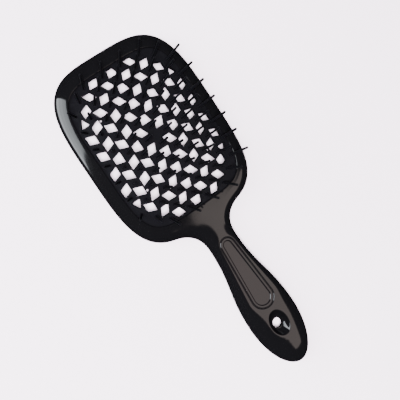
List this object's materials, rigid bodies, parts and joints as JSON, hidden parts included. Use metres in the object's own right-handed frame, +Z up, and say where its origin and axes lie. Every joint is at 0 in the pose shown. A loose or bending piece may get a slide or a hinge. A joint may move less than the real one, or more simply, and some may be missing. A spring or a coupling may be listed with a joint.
{
  "type": "massage comb",
  "caption": "Vented paddle comb for hair and scalp: rounded head with an open rim, a domed mat of moulded pins, waisted neck and swelling handle with a hang hole.",
  "frame": {"origin": "centre of the whole comb's footprint, on the surface it lies on, back down", "axes": "+Y along the comb towards the head, +Z up out of the pins' side, +X to the right of someone looking down with the head away from them"},
  "size_m": [0.0902, 0.2232, 0.034],
  "materials": {
    "shell": "gloss black ABS, moulded",
    "mat": "black nylon, moulded with its pins"
  },
  "bodies": {
    "root": {"front_shell": "shell", "back_shell": "shell", "pin_mat": "mat"}
  },
  "joints": []
}
